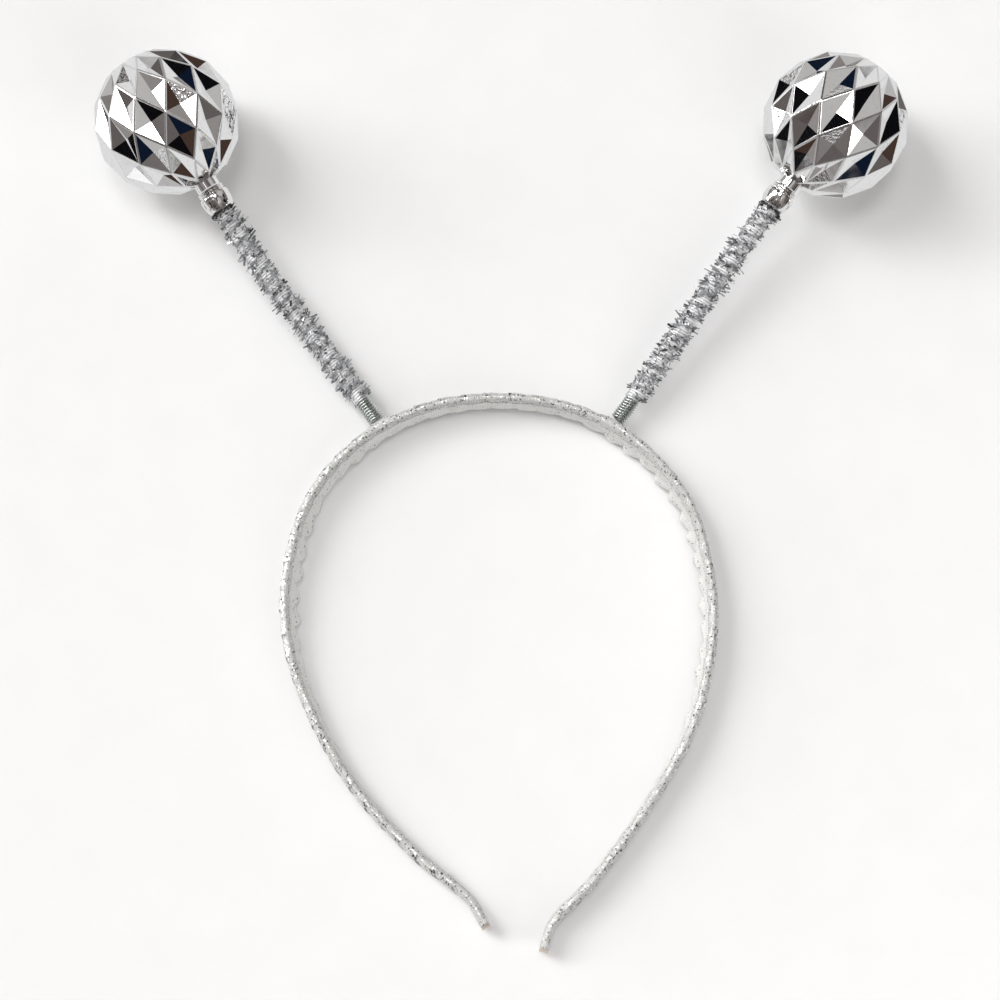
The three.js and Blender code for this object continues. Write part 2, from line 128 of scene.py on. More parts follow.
class NodeTree:
    def __init__(self, tree):
        self.tree = tree
        self.tree.nodes.clear()

    def add(self, kind, settings=None, values=None, out=0):
        node = self.tree.nodes.new(kind)
        for key, value in (settings or {}).items():
            setattr(node, key, value)
        for key, value in (values or {}).items():
            socket = node.inputs[key]
            if isinstance(value, Wire):
                self.tree.links.new(value.socket, socket)
            else:
                socket.default_value = value
        if not node.outputs:
            return None
        return Wire(self, node.outputs[out])

    def mixColours(self, share, first, second):
        asColour = [c if isinstance(c, Wire) else (*c, 1) for c in (first, second)]
        return self.add(
            "ShaderNodeMix", {"data_type": "RGBA"},
            {0: share, 6: asColour[0], 7: asColour[1]}, out=2,
        )

    def vector(self, operation, first, second, out=0):
        return self.add("ShaderNodeVectorMath", {"operation": operation}, {0: first, 1: second}, out=out)

    def objectPlace(self):
        return self.add("ShaderNodeTexCoord", out=3)

    def parts(self, vector):
        split = self.add("ShaderNodeSeparateXYZ", values={0: vector})
        outputs = split.socket.node.outputs
        return [Wire(self, outputs[i]) for i in range(3)]

    def noise(self, place, scale, detail):
        return self.add(
            "ShaderNodeTexNoise", {"noise_dimensions": "3D"},
            {"Vector": place, "Scale": scale, "Detail": detail},
        )

    def flakes(self, place, scale):
        # a cell pattern in which each cell tilts its own way: a height and the cell's random colour
        cells = self.add(
            "ShaderNodeTexVoronoi", {"feature": "F1", "voronoi_dimensions": "3D"},
            {"Vector": place, "Scale": scale},
        )
        outputs = cells.socket.node.outputs
        chance = Wire(self, outputs["Color"])
        middle = Wire(self, outputs["Position"])
        scaled = self.add("ShaderNodeVectorMath", {"operation": "SCALE"}, {0: place, "Scale": scale})
        fromMiddle = self.vector("SUBTRACT", scaled, middle)
        tilt = self.vector("SUBTRACT", chance, (0.5, 0.5, 0.5))
        return self.vector("DOT_PRODUCT", fromMiddle, tilt, out=1), chance

    def stored(self, name):
        return self.add("ShaderNodeAttribute", {"attribute_name": name}, out=2)

    def bump(self, height, distance, strength, below=None):
        values = {"Height": height, "Distance": distance, "Strength": strength}
        if below is not None:
            values["Normal"] = below
        return self.add("ShaderNodeBump", values=values)


class Finish(NodeTree):
    # a material whose changing values feed one Principled shader
    def __init__(self, name):
        self.material = bpy.data.materials.new(name)
        self.material.use_nodes = True
        super().__init__(self.material.node_tree)

    def surface(self, values):
        shader = self.add("ShaderNodeBsdfPrincipled", values=values)
        self.add("ShaderNodeOutputMaterial", values={"Surface": shader})
        return self.material


studio = {
    "walls": (0.30, 0.28, 0.27), "paleWalls": (0.52, 0.51, 0.50), "sweep": (0.82, 0.82, 0.82),
    "backdrop": (0.88, 0.88, 0.875),
    "softBox": (8.5, 8.5, 8.5), "black": (0.004, 0.004, 0.005), "navy": (0.005, 0.010, 0.024),
    "brown": (0.06, 0.036, 0.028), "dusk": (0.13, 0.115, 0.11), "nearLight": (1.1, 1.1, 1.1),
    "unevenScale": 2.6, "unevenRange": (0.4, 0.6), "horizon": (-0.02, 0.03), "softEdge": 0.82,
    # what stands round the table: colour, compass angle, tilt from straight up, reach, all in degrees
    "panels": [
        ("paleWalls", 52, 48, 26), ("paleWalls", 58, 74, 8), ("paleWalls", 87, 70, 9),
        ("paleWalls", 133, 72, 6),
        ("dusk", 250, 50, 24), ("dusk", 328, 66, 15), ("dusk", 200, 38, 12), ("dusk", 292, 23, 5),
        ("paleWalls", 335, 27, 13), ("paleWalls", 303, 33, 7), ("nearLight", 306, 26, 4),
        ("nearLight", 232, 22, 5),
        ("brown", 250, 53, 9), ("brown", 303, 15, 5), ("brown", 327, 80, 8), ("brown", 27, 66, 7),
        ("black", 104, 39, 13), ("black", 122, 38, 8), ("black", 86, 37, 5), ("black", 157, 81, 6),
        ("navy", 106, 56, 9), ("navy", 109, 79, 6),
        ("black", 0, 60, 11), ("black", 357, 69, 8), ("black", 22, 62, 6), ("black", 13, 86, 8),
        ("paleWalls", 289, 80, 4), ("navy", 269, 69, 8), ("navy", 291, 59, 6), ("navy", 284, 86, 4),
        ("black", 199, 51, 6), ("black", 222, 62, 6), ("black", 228, 70, 7), ("black", 231, 88, 4),
        ("softBox", 100, 7, 10), ("softBox", 151, 33, 8), ("softBox", 147, 46, 12), ("softBox", 162, 62, 10),
        ("softBox", 171, 81, 9), ("softBox", 182, 79, 4), ("softBox", 338, 88, 3),
        ("paleWalls", 223, 75, 5), ("brown", 62, 86, 3), ("dusk", 138, 90, 4), ("black", 123, 91, 4),
        ("walls", 97, 94, 4), ("walls", 76, 99, 4), ("walls", 113, 104, 5), ("walls", 169, 95, 4),
        ("dusk", 184, 98, 5), ("walls", 187, 111, 5), ("black", 191, 119, 4), ("walls", 204, 121, 6),
        ("paleWalls", 232, 114, 6), ("black", 226, 102, 5), ("brown", 264, 106, 6),
        ("black", 266, 93, 3), ("walls", 338, 44, 5),
        ("walls", 289, 127, 6), ("dusk", 330, 101, 5), ("dusk", 329, 128, 6), ("walls", 46, 68, 4),
        ("nearLight", 235, 83, 3),
    ],
}


def compassWay(angle, tilt):
    flat = math.sin(math.radians(tilt))
    angle = math.radians(angle)
    return (flat * math.cos(angle), flat * math.sin(angle), math.cos(math.radians(tilt)))


# the plated facets mirror this world alone, not the floor or the lamps
def makeWorld():
    world = bpy.data.worlds.new("studio")
    world.use_nodes = True
    bpy.context.scene.world = world
    nodes = NodeTree(world.node_tree)
    way = nodes.add("ShaderNodeTexCoord", out=0)
    uneven = nodes.noise(way, studio["unevenScale"], detail=2)
    light = nodes.mixColours(uneven.ease(*studio["unevenRange"]), studio["walls"], studio["dusk"])
    high = nodes.parts(way)[2]
    light = nodes.mixColours(high.ease(*studio["horizon"]), studio["sweep"], light)
    for colour, angle, tilt, reach in studio["panels"]:
        toPanel = nodes.vector("DOT_PRODUCT", way, compassWay(angle, tilt), out=1)
        edge = math.cos(math.radians(reach))
        inner = math.cos(math.radians(reach * studio["softEdge"]))
        light = nodes.mixColours(toPanel.ease(edge, inner), light, studio[colour])
    # the camera itself looks at a plain backdrop
    direct = nodes.add("ShaderNodeLightPath")
    light = nodes.mixColours(direct, light, studio["backdrop"])
    background = nodes.add("ShaderNodeBackground", values={"Color": light, "Strength": 1.0})
    nodes.add("ShaderNodeOutputWorld", values={"Surface": background})


table = {
    "size": 6, "below": 0.0002, "grainScale": 60, "roughness": 0.8,
    "dark": (0.83, 0.83, 0.83), "light": (0.87, 0.87, 0.87),
}


def makeFloor(settings):
    bpy.ops.object.select_all(action="DESELECT")
    bpy.ops.mesh.primitive_plane_add(size=settings["size"])
    floor = bpy.context.active_object
    floor.name = "floor"
    finish = Finish("paleFloor")
    grain = finish.noise(finish.objectPlace(), settings["grainScale"], detail=3)
    colour = finish.mixColours(grain, settings["dark"], settings["light"])
    floor.data.materials.append(finish.surface({"Base Color": colour, "Roughness": settings["roughness"]}))
    floor.location.z = -settings["below"]
    floor.visible_glossy = False


lamps = [
    {"name": "keyLight", "at": (-0.55, 0.30, 0.85), "size": 0.9, "power": 1.7},
    {"name": "fillLight", "at": (0.55, -0.65, 0.60), "size": 0.9, "power": 3.6},
]


def makeLamp(settings):
    data = bpy.data.lights.new(settings["name"], "AREA")
    data.shape = "SQUARE"
    data.size = settings["size"]
    data.energy = settings["power"]
    lamp = bpy.data.objects.new(settings["name"], data)
    bpy.context.scene.collection.objects.link(lamp)
    lamp.location = settings["at"]
    lamp.rotation_euler = Vector(settings["at"]).to_track_quat("Z", "Y").to_euler()
    lamp.visible_glossy = False


makeWorld()
makeFloor(table)
for lamp in lamps:
    makeLamp(lamp)
print("studio ready")


# Modelling helpers

def editMode():
    bpy.ops.object.mode_set(mode="EDIT")


def objectMode():
    bpy.ops.object.mode_set(mode="OBJECT")


def clearSelection():
    if bpy.context.object and bpy.context.object.mode != "OBJECT":
        objectMode()
    bpy.ops.object.select_all(action="DESELECT")


def pickOnly(piece):
    clearSelection()
    piece.select_set(True)
    bpy.context.view_layer.objects.active = piece


def newest(name):
    piece = bpy.context.active_object
    piece.name = name
    piece.data.name = name
    return piece


def pickElements(piece, kind, test):
    # selects in edit mode the vertices or edges that pass the test
    editMode()
    bpy.ops.mesh.select_mode(type=kind)
    bpy.ops.mesh.select_all(action="DESELECT")
    objectMode()
    elements = {"VERT": piece.data.vertices, "EDGE": piece.data.edges}[kind]
    for element in elements:
        element.select = bool(test(element))
    editMode()


def applyModifiers(piece):
    pickOnly(piece)
    for modifier in list(piece.modifiers):
        bpy.ops.object.modifier_apply(modifier=modifier.name)


def settle(piece):
    pickOnly(piece)
    bpy.ops.object.transform_apply(location=True, rotation=True, scale=True)


def joinPieces(first, others):
    pickOnly(first)
    for other in others:
        other.select_set(True)
    bpy.ops.object.join()
    return first


def tidyNormals(piece, weld=0.0):
    pickOnly(piece)
    editMode()
    bpy.ops.mesh.select_all(action="SELECT")
    if weld:
        bpy.ops.mesh.remove_doubles(threshold=weld)
    bpy.ops.mesh.normals_make_consistent(inside=False)
    objectMode()


def readPoints(piece):
    flat = np.empty(len(piece.data.vertices) * 3)
    piece.data.vertices.foreach_get("co", flat)
    return flat.reshape(-1, 3)


def writePoints(piece, points):
    piece.data.vertices.foreach_set("co", np.asarray(points, dtype=np.float32).ravel())
    piece.data.update()


def storeValues(piece, name, values, on="POINT"):
    # one number for each vertex or face, which a finish reads by name
    stored = piece.data.attributes.new(name, "FLOAT", on)
    stored.data.foreach_set("value", np.asarray(values, dtype=np.float32))


def shadeSmooth(piece, degrees=40):
    pickOnly(piece)
    bpy.ops.object.shade_smooth_by_angle(angle=math.radians(degrees))


def smoothStep(value, low, high):
    share = np.clip((value - low) / (high - low), 0, 1)
    return share * share * (3 - 2 * share)


def lookUp(distance, lengths, rows):
    # the row at each distance, between the nearest two
    return np.stack([np.interp(distance, lengths, column) for column in rows.T], axis=1)


# The line of the strip and of each spring, in mm, as the solids have them

strip = {
    "width": 117.2, "height": 149.3, "thickness": 1.8, "breadth": 8.4, "bareEnd": 1.0, "seat": 8.0,
    "wrapBuild": 0.65, "step": 0.32, "endSpread": 0.85, "leanLift": 0.6, "samples": 240,
    "cornerRound": 0.12, "cuts": 160, "endCut": 0.008,
    # share across, share down, share of breadth, lean in degrees, share of the scallops
    "rows": [
        (-0.030, 0.957, 0.64, 0, 0), (-0.066, 0.909, 0.66, 1, 0), (-0.190, 0.828, 0.70, 2, 0),
        (-0.327, 0.712, 0.75, 4, 0.15), (-0.418, 0.592, 0.82, 6, 0.7), (-0.476, 0.465, 0.90, 8.5, 1),
        (-0.485, 0.350, 0.95, 9.5, 1), (-0.436, 0.200, 1.00, 8, 1), (-0.325, 0.093, 1.00, 6, 0.9),
        (-0.170, 0.028, 1.00, 4, 0.2), (0.000, 0.010, 1.00, 3.5, 0), (0.170, 0.030, 1.00, 3.5, 0.2),
        (0.321, 0.097, 1.00, 4, 1.3), (0.431, 0.203, 0.98, 4.5, 1.6), (0.481, 0.350, 0.93, 4.5, 1.6),
        (0.479, 0.466, 0.88, 4, 1.4), (0.437, 0.600, 0.82, 3, 0.8), (0.344, 0.731, 0.75, 2, 0.1),
        (0.211, 0.873, 0.70, 1, 0), (0.115, 0.953, 0.66, 0, 0), (0.097, 0.999, 0.64, 0, 0),
    ],
}


class StripLine:
    # a centripetal spline through the rows, measured by the distance along it
    def __init__(self, settings):
        self.settings = settings
        self.rows = np.array(settings["rows"], dtype=float)
        knots = self.rows[:, :2] * (settings["width"], -settings["height"])
        ends = [2 * knots[0] - knots[1], 2 * knots[-1] - knots[-2]]
        knots = np.vstack([ends[0], knots, ends[1]])
        line = []
        for i in range(1, len(knots) - 2):
            shares = np.linspace(0, 1, settings["samples"], endpoint=False)
            line.append(self.segment(*knots[i - 1:i + 3], shares))
        line.append(knots[-2][None])
        self.points = np.vstack(line)
        self.places = np.linspace(0, len(self.rows) - 1, len(self.points))
        steps = np.linalg.norm(np.diff(self.points, axis=0), axis=1)
        self.lengths = np.concatenate([[0], np.cumsum(steps)])
        self.length = self.lengths[-1]
        crownRow = int(np.argmin(np.abs(self.rows[:, 0])))
        self.crown = np.interp(crownRow, self.places, self.lengths)
        self.tangents = np.gradient(self.points, self.lengths, axis=0)

    def segment(self, before, start, end, after, share):
        knots = (before, start, end, after)
        gaps = [np.linalg.norm(b - a) ** 0.5 for a, b in zip(knots, knots[1:])]
        slopes = []
        for i in (0, 1):
            a, b, c = knots[i:i + 3]
            g, h = gaps[i:i + 2]
            slopes.append(((b - a) / g - (c - a) / (g + h) + (c - b) / h) * gaps[1])
        t = share[:, None]
        fromStart = 2 * t ** 3 - 3 * t ** 2 + 1
        leaving = t ** 3 - 2 * t ** 2 + t
        toEnd = -2 * t ** 3 + 3 * t ** 2
        arriving = t ** 3 - t ** 2
        return fromStart * start + leaving * slopes[0] + toEnd * end + arriving * slopes[1]

    def value(self, distance, column):
        place = np.interp(distance, self.lengths, self.places)
        row = np.minimum(np.floor(place).astype(int), len(self.rows) - 2)
        blend = smoothStep(place - row, 0, 1)
        return self.rows[row, column] * (1 - blend) + self.rows[row + 1, column] * blend

    def frameAt(self, distance):
        # middle of the section, its outward and upward directions, and half its breadth
        distance = np.atleast_1d(distance)
        fromCrown = distance - self.crown
        onSeat = np.abs(fromCrown) <= self.settings["seat"] / 2
        measured = np.where(onSeat, self.crown, np.clip(distance, 0, self.length))
        flat = lookUp(measured, self.lengths, self.points)
        tangent = lookUp(measured, self.lengths, self.tangents)
        tangent /= np.linalg.norm(tangent, axis=1)[:, None]
        beyond = np.where(onSeat, fromCrown, distance - measured)
        flat = flat + tangent * beyond[:, None]
        lean = np.radians(self.value(measured, 3))
        halfBreadth = self.value(measured, 2) * self.settings["breadth"] / 2
        outward = np.stack([-tangent[:, 1], tangent[:, 0], np.zeros(len(flat))], axis=1)
        upward = np.array([0.0, 0.0, 1.0])
        cos, sin = np.cos(lean)[:, None], np.sin(lean)[:, None]
        side = outward * cos - upward * sin
        rise = outward * sin + upward * cos
        build = self.settings["wrapBuild"]
        middle = np.zeros((len(flat), 3))
        middle[:, :2] = flat
        middle[:, 2] = (halfBreadth + build) * cos[:, 0] + self.settings["step"]
        middle[:, 2] += self.settings["leanLift"] * (self.settings["thickness"] / 2 + build) * sin[:, 0]
        return middle, side, rise, halfBreadth


stripLine = StripLine(strip)

spring = {
    "diameter": 4.5, "wire": 0.7, "pitch": 0.78, "reach": 71.4, "bareLength": 7.0, "inCollar": 3.2,
    "bendAtFoot": 0.3, "footHeight": 1.0, "wireSides": 8, "stepsPerTurn": 18,
}
ball = {
    "radius": 20.0, "facetDepth": 2.3, "rowDepths": [1, 1, 0.9, 0.5], "cells": 12, "rowAngle": 22.5,
    "ridge": 0.72, "ridgeSteps": 4, "smallFace": 1.6, "crinkledShare": 0.08,
    "neckRadius": 3.3, "neckLength": 1.2, "neckRoot": 1.5, "neckSides": 48, "neckGap": 0.3,
}
collar = {
    "height": 6.3, "sides": 72,
    # radius and height from the mouth, outside from the mouth to the top, then back inside
    "profile": [
        (2.95, 5.6), (2.95, 0.25), (3.1, 0.0), (3.42, 0.0), (3.52, 0.12), (3.75, 0.6), (3.96, 1.2),
        (4.1, 1.95), (4.18, 2.8), (4.2, 3.8), (4.08, 4.4), (3.8, 4.7), (3.3, 4.8), (3.15, 4.86),
        (3.15, 4.98), (3.4, 5.02), (3.66, 5.12), (3.75, 5.3), (3.66, 5.48), (3.4, 5.58), (3.15, 5.62),
        (3.15, 5.72), (3.4, 5.76), (3.66, 5.84), (3.75, 6.0), (3.66, 6.17), (3.3, 6.3),
    ],
}
sides = [
    {"name": "left", "sign": -1, "foot": 33.4, "springAngle": 36.4, "ballAngle": 33.2, "ballRise": 12.3,
     "turn": 0, "seed": 11},
    {"name": "right", "sign": 1, "foot": 31.8, "springAngle": 36.2, "ballAngle": 38.4, "ballRise": 10.0,
     "turn": 15, "seed": 29},
]


def headingOf(side, angle, rise):
    flat = math.cos(math.radians(rise))
    across = side["sign"] * math.sin(math.radians(angle)) * flat
    return Vector((across, math.cos(math.radians(angle)) * flat, math.sin(math.radians(rise))))


def axesAlong(heading):
    # X as near to up as it goes, Z along the heading
    axisX = (Vector((0, 0, 1)) - heading * heading.z).normalized()
    axisY = heading.cross(axisX)
    return Matrix((axisX, axisY, heading)).transposed()


def ballCorners(side):
    # the corners of the facet cells, turned as the ball lies, on a ball of radius 1
    corners = []
    last = len(ball["rowDepths"]) - 1
    turned = axesAlong(-headingOf(side, side["ballAngle"], side["ballRise"]))
    for row in range(-last, last + 1):
        for step in range(ball["cells"]):
            tilt = math.radians(row * ball["rowAngle"])
            spin = math.radians((step + 0.5 * (row % 2)) * 360 / ball["cells"] + side["turn"])
            flat = math.cos(tilt)
            corners.append(turned @ Vector((flat * math.cos(spin), flat * math.sin(spin), math.sin(tilt))))
    return corners


collarMouth = ball["radius"] + ball["neckLength"] + ball["neckGap"] + collar["height"]


class SpringLine:
    # from the foot on the ribbon to the collar's mouth, and straight on into the collar
    def __init__(self, side):
        toBall = headingOf(side, side["ballAngle"], side["ballRise"])
        middle, outward, _, _ = stripLine.frameAt(stripLine.crown + side["sign"] * side["foot"])
        surface = strip["thickness"] / 2 + strip["wrapBuild"] + spring["footHeight"]
        foot = Vector(middle[0]) + Vector(outward[0]) * surface
        mouth = foot + headingOf(side, side["springAngle"], 0) * spring["reach"]
        restHeight = -min(corner.z for corner in ballCorners(side)) * ball["radius"]
        mouth.z = restHeight - toBall.z * collarMouth
        chord = mouth - foot
        rise = math.degrees(math.asin(chord.z / chord.length))
        share = spring["bendAtFoot"]
        footAngle = side["springAngle"] * (1 - share) + side["ballAngle"] * share
        fromFoot = headingOf(side, footAngle, 2 * rise - side["ballRise"])
        handle = chord.length / 3
        self.controls = [foot, foot + fromFoot * handle, mouth - toBall * handle, mouth]
        self.foot, self.mouth, self.toBall = foot, mouth, toBall
        self.centre = mouth + toBall * collarMouth
        shares = np.linspace(0, 1, 2001)
        self.points = self.bezier(shares)
        steps = np.linalg.norm(np.diff(self.points, axis=0), axis=1)
        self.lengths = np.concatenate([[0], np.cumsum(steps)])
        self.length = self.lengths[-1]
        self.tangents = np.gradient(self.points, self.lengths, axis=0)

    def bezier(self, share):
        t = share[:, None]
        a, b, c, d = (np.array(p) for p in self.controls)
        return (1 - t) ** 3 * a + 3 * (1 - t) ** 2 * t * b + 3 * (1 - t) * t ** 2 * c + t ** 3 * d

    def place(self, local):
        # local points have their distance along the line as z
        distance = local[:, 2]
        inside = np.clip(distance, 0, self.length)
        middle = lookUp(inside, self.lengths, self.points)
        along = lookUp(inside, self.lengths, self.tangents)
        along /= np.linalg.norm(along, axis=1)[:, None]
        middle = middle + along * (distance - inside)[:, None]
        axisX = np.array([0.0, 0.0, 1.0]) - along * along[:, 2:3]
        axisX /= np.linalg.norm(axisX, axis=1)[:, None]
        axisY = np.cross(along, axisX)
        return middle + axisX * local[:, 0:1] + axisY * local[:, 1:2]


for side in sides:
    side["line"] = SpringLine(side)

# the solids' frame has its origin in the middle of the whole box
leftSide = sides[0]
leftCorners = [leftSide["line"].centre + corner * ball["radius"] for corner in ballCorners(leftSide)]
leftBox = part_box("ball_left")
shift = Vector((
    leftBox[0].x / mm - min(p.x for p in leftCorners),
    leftBox[1].y / mm - max(p.y for p in leftCorners),
    0,
))
print("lines laid, shift", [round(v, 3) for v in shift])


def toFrame(points):
    return (np.asarray(points) + np.array(shift)) * mm


# Balls

def makeBall(side):
    radius = ball["radius"]
    onSurface = radius * 0.999
    poleRow = round(90 / ball["rowAngle"])
    clearSelection()
    bpy.ops.mesh.primitive_uv_sphere_add(segments=2 * ball["cells"], ring_count=2 * poleRow, radius=radius)
    piece = newest("ball" + side["name"].capitalize())
    rowAngle = math.radians(ball["rowAngle"])
    cellAngle = math.pi / ball["cells"]

    def rowOf(point):
        return round(math.asin(max(-1, min(1, point.z / point.length))) / rowAngle)

    def isCorner(vertex):
        row = rowOf(vertex.co)
        column = round(math.atan2(vertex.co.y, vertex.co.x) / cellAngle)
        return abs(row) == poleRow or (row + column) % 2 == 0

    pickElements(piece, "VERT", isCorner)
    bpy.ops.mesh.vert_connect()
    pickElements(piece, "VERT", lambda vertex: not isCorner(vertex))
    bpy.ops.mesh.dissolve_verts()
    bpy.ops.mesh.select_all(action="SELECT")
    bpy.ops.mesh.poke(offset=0.0, use_relative_offset=False, center_mode="MEDIAN")
    objectMode()
    for vertex in piece.data.vertices:
        if vertex.co.length < onSurface:
            row = rowOf(vertex.co)
            spin = math.atan2(vertex.co.y, vertex.co.x)
            tilt = row * rowAngle
            reach = radius - ball["facetDepth"] * ball["rowDepths"][abs(row)]
            flat = math.cos(tilt)
            heading = Vector((flat * math.cos(spin), flat * math.sin(spin), math.sin(tilt)))
            vertex.co = heading * reach
    points = piece.data.vertices
    pickElements(piece, "EDGE", lambda edge: all(points[i].co.length > onSurface for i in edge.vertices))
    bpy.ops.mesh.bevel(
        offset=ball["ridge"], offset_type="WIDTH", segments=ball["ridgeSteps"], affect="EDGES",
    )
    objectMode()
    piece.rotation_euler = (0, 0, math.radians(side["turn"]))
    settle(piece)
    ridges = [face.area < ball["smallFace"] for face in piece.data.polygons]
    chance = random.Random(side["seed"])
    crinkled = [0 if isRidge else chance.random() < ball["crinkledShare"] for isRidge in ridges]
    for face, isRidge in zip(piece.data.polygons, ridges):
        face.use_smooth = isRidge
    storeValues(piece, "ridge", ridges, "FACE")
    storeValues(piece, "crinkled", crinkled, "FACE")

    clearSelection()
    depth = ball["neckLength"] + ball["neckRoot"]
    height = radius + ball["neckLength"] - depth / 2
    bpy.ops.mesh.primitive_cylinder_add(
        vertices=ball["neckSides"], radius=ball["neckRadius"], depth=depth, location=(0, 0, height),
    )
    neck = newest("neck")
    settle(neck)
    shadeSmooth(neck)
    joinPieces(piece, [neck])
    placeOnAxis(piece, side)
    return piece


def placeOnAxis(piece, side):
    # from a ball's own axes, with the neck along Z, to where the ball lies
    turned = axesAlong(-side["line"].toBall)
    points = readPoints(piece) @ np.array(turned).T + np.array(side["line"].centre)
    writePoints(piece, toFrame(points))


# Collars

def turnProfile(name, profile, sidesRound):
    # a ring is extruded and resized from row to row, as on a lathe
    clearSelection()
    radius, height = profile[0]
    bpy.ops.mesh.primitive_circle_add(
        vertices=sidesRound, radius=radius, fill_type="NGON", location=(0, 0, height),
    )
    piece = newest(name)
    settle(piece)
    editMode()
    bpy.ops.mesh.select_mode(type="VERT")
    bpy.ops.mesh.select_all(action="SELECT")
    for newRadius, newHeight in profile[1:]:
        bpy.ops.mesh.extrude_region_move(TRANSFORM_OT_translate={"value": (0, 0, newHeight - height)})
        scale = newRadius / radius
        bpy.ops.transform.resize(value=(scale, scale, 1), center_override=(0, 0, 0))
        radius, height = newRadius, newHeight
    objectMode()
    return piece


def makeCollar(side):
    piece = turnProfile("collar" + side["name"].capitalize(), collar["profile"], collar["sides"])
    tidyNormals(piece)
    shadeSmooth(piece, 32)
    piece.rotation_euler = (math.pi, 0, 0)
    piece.location = (0, 0, collarMouth)
    settle(piece)
    placeOnAxis(piece, side)
    return piece


# Springs

def windUp(piece, settings):
    # draws the ring out to a wire and closes its two ends
    screw = piece.modifiers.new("wind", "SCREW")
    for key, value in settings.items():
        setattr(screw, key, value)
    applyModifiers(piece)
    editMode()
    bpy.ops.mesh.select_all(action="DESELECT")
    bpy.ops.mesh.select_non_manifold()
    bpy.ops.mesh.edge_face_add()
    objectMode()


def makeSpring(side):
    line = side["line"]
    turns = round((line.length + spring["inCollar"]) / spring["pitch"]) - 1
    coilRadius = (spring["diameter"] - spring["wire"]) / 2
    clearSelection()
    bpy.ops.mesh.primitive_circle_add(
        vertices=spring["wireSides"], radius=spring["wire"] / 2, fill_type="NOTHING",
        location=(coilRadius, 0, 0), rotation=(math.pi / 2, 0, 0),
    )
    piece = newest("spring" + side["name"].capitalize())
    settle(piece)
    windUp(piece, {
        "axis": "Z", "angle": 2 * math.pi, "screw_offset": spring["pitch"], "iterations": turns,
        "steps": spring["stepsPerTurn"], "render_steps": spring["stepsPerTurn"],
    })
    tidyNormals(piece)
    shadeSmooth(piece, 60)
    points = readPoints(piece)
    points[:, 2] += spring["wire"] / 2
    # painted light: from where the tinsel starts, the coil turns pale, matt and hardly metallic, standing in
    # for the bright highlights between the strips
    bare = spring["bareLength"]
    storeValues(piece, "underFoilPaintedLight", smoothStep(points[:, 2], bare, bare + 1.0))
    writePoints(piece, toFrame(line.place(points)))
    return piece


# Tinsel

tinsel = {
    "pitch": 3.4, "firstGap": 0.9, "lastGap": 0.25, "stripsPerTurn": 80, "spread": 0.85,
    "threadRadius": 0.22, "threadSides": 6, "threadSteps": 20, "threadShade": 0.45,
    "stripLength": (0.8, 1.8), "stripWidth": (0.22, 0.58), "stripThickness": 0.03,
    "folds": (0.38, 0.72), "twist": 0.7, "curl": 0.18, "rooting": (-0.1, 0.25), "clearOfCoil": 0.06,
    "clumpSize": (0.5, 1.45), "clumpsPerTurn": 5,
    # some strips stand off the spring, the others lie pressed on it and face outward
    "pressedShare": 0.5,
    "standing": {"away": (0.35, 1.0), "sideways": 0.75, "scatter": 0.2, "facing": 0},
    "pressed": {"away": (0.0, 0.15), "sideways": 1.2, "scatter": 0.45, "facing": 3},
    "lean": 0.17, "darkShare": 0.2, "darkShades": (0, 0.15), "lightShades": (0.15, 0.62),
    # painted shadow at the collar's mouth: dark strips pressed together there stand in for the shade inside
    # the collar, and the length before the mouth whose strips are painted dark as shade
    "mouthPaintedShadeLength": 1.3, "mouthPaintedShadowStrips": 90, "collarReach": 0.8, "mouthPaintedShadowShades": (0, 0.08), "collarSize": 0.85,
}


def makeFoilStrip():
    # one thin strip along X that can fold in two places
    clearSelection()
    bpy.ops.mesh.primitive_cube_add(size=1, location=(0.5, 0, 0))
    piece = newest("foilStrip")
    settle(piece)
    editMode()
    for fold in tinsel["folds"]:
        bpy.ops.mesh.select_all(action="SELECT")
        bpy.ops.mesh.bisect(plane_co=(fold, 0, 0), plane_no=(1, 0, 0))
    objectMode()
    return piece


def layStrip(base, chance, angle, height, size, lowest, highest):
    # one strip rooted on the spring at that angle and height, most of it pointing away
    away = np.array([math.cos(angle), math.sin(angle), 0])
    sideways = np.array([-math.sin(angle), math.cos(angle), 0])
    lie = tinsel["pressed"] if chance.random() < tinsel["pressedShare"] else tinsel["standing"]
    heading = away * chance.uniform(*lie["away"]) + sideways * chance.uniform(-1, 1) * lie["sideways"]
    heading[2] = tinsel["lean"] * away[1] + chance.gauss(0, lie["scatter"])
    heading /= np.linalg.norm(heading)
    length = chance.uniform(*tinsel["stripLength"]) * size
    width = chance.uniform(*tinsel["stripWidth"])
    facing = away * lie["facing"] + [chance.gauss(0, 1), chance.gauss(0, 1), chance.gauss(0, 1)]
    roll = np.cross(heading, facing)
    roll /= np.linalg.norm(roll)
    flat = np.cross(heading, roll)
    local = base * (length, width, tinsel["stripThickness"])
    twist = chance.uniform(-tinsel["twist"], tinsel["twist"]) * base[:, 0]
    y = local[:, 1] * np.cos(twist)
    bend = chance.uniform(-tinsel["curl"], tinsel["curl"]) * length
    z = local[:, 2] + local[:, 1] * np.sin(twist) + bend * base[:, 0] ** 2
    rootRadius = spring["diameter"] / 2 + tinsel["threadRadius"]
    root = away * (rootRadius + chance.uniform(*tinsel["rooting"])) + np.array([0, 0, height])
    placed = root + local[:, 0:1] * heading + y[:, None] * roll + z[:, None] * flat
    # what would lie in the spring is pressed out to its surface
    radii = np.linalg.norm(placed[:, :2], axis=1)
    least = spring["diameter"] / 2 + tinsel["clearOfCoil"]
    placed[:, :2] *= np.maximum(least / np.maximum(radii, 0.001), 1)[:, None]
    placed[:, 2] = np.clip(placed[:, 2], lowest, highest)
    return placed


